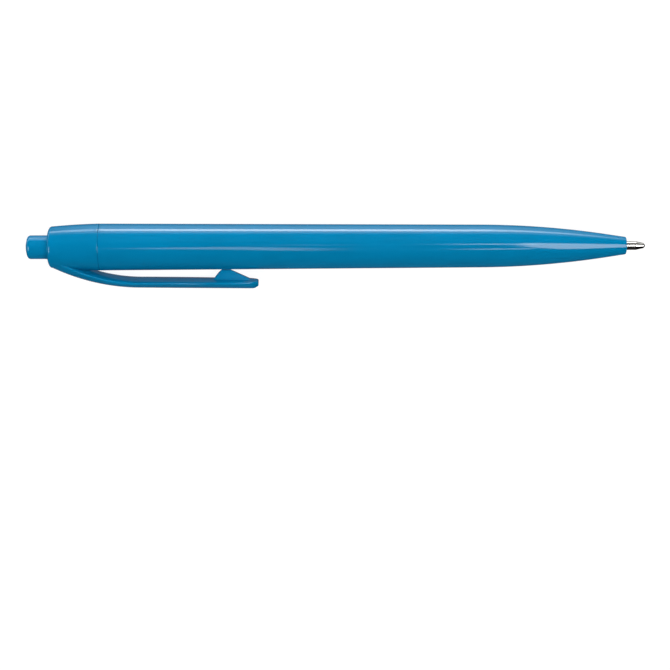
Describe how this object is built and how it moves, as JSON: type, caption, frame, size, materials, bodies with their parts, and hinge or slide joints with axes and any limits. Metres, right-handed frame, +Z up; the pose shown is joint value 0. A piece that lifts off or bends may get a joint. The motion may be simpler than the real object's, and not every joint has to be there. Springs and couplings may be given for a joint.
{
  "type": "retractable ballpoint pen",
  "caption": "Slim click pen in glossy plastic: tapered barrel, cap with a long one-piece clip, push button, and a spring-loaded refill with a metal point.",
  "frame": {"origin": "on the surface the pen lies on, under the middle of the pen's bounding box; the pen's axis is 2.07 mm towards +Y and 5.3 mm up from there", "axes": "+X along the pen from the push button to the writing point, +Z up from the surface the pen lies on, and the clip on the -Y side, 14 degrees below the level, so that its edge rests on the surface"},
  "size_m": [0.14, 0.0147, 0.0106],
  "materials": {
    "blue_plastic": "gloss",
    "white_acetal": "satin",
    "clear_tube": "satin",
    "ink": "gloss",
    "follower_grease": "satin",
    "spring_steel": "satin",
    "nickel_silver": "polished",
    "carbide": "polished"
  },
  "bodies": {
    "barrel": {"barrel": "blue_plastic", "return_spring": "spring_steel"},
    "cap": {"cap": "blue_plastic", "cam_sleeve": "white_acetal"},
    "clip": {"clip": "blue_plastic"},
    "button": {"push_button": "blue_plastic"},
    "refill": {"refill_tube": "clear_tube", "ink_column": "ink", "ink_follower": "follower_grease", "point_adapter": "white_acetal", "writing_point": "nickel_silver"},
    "rotor": {"cam_rotor": "white_acetal"},
    "ball": {"writing_ball": "carbide"}
  },
  "joints": [
    {"name": "cap_pull", "type": "slide", "parent": "barrel", "child": "cap", "axis": [-1, 0, 0], "range_m": [0, 0.0177]},
    {"name": "clip_flex", "type": "hinge", "parent": "cap", "child": "clip", "pos_m": [-0.05285, -0.00522, 0.00348], "axis": [0, 0.2419, -0.9703], "range_deg": [0, 4], "stiffness_Nm_per_rad": 3.5},
    {"name": "button_press", "type": "slide", "parent": "cap", "child": "button", "axis": [1, 0, 0], "range_m": [-0.0055, 0.0012]},
    {"name": "refill_slide", "type": "slide", "parent": "barrel", "child": "refill", "axis": [1, 0, 0], "range_m": [-0.0055, 0.0012], "deforming": ["return_spring"]},
    {"name": "rotor_spin", "type": "hinge", "parent": "refill", "child": "rotor", "pos_m": [-0.042, 0.00207, 0.0053], "axis": [1, 0, 0], "continuous": true},
    {"name": "ball_spin", "type": "hinge", "parent": "refill", "child": "ball", "pos_m": [0.0695, 0.00207, 0.0053], "axis": [0, 1, 0], "continuous": true}
  ],
  "couplings": [
    {"joint": "refill_slide", "follows": "button_press", "ratio": 1}
  ]
}
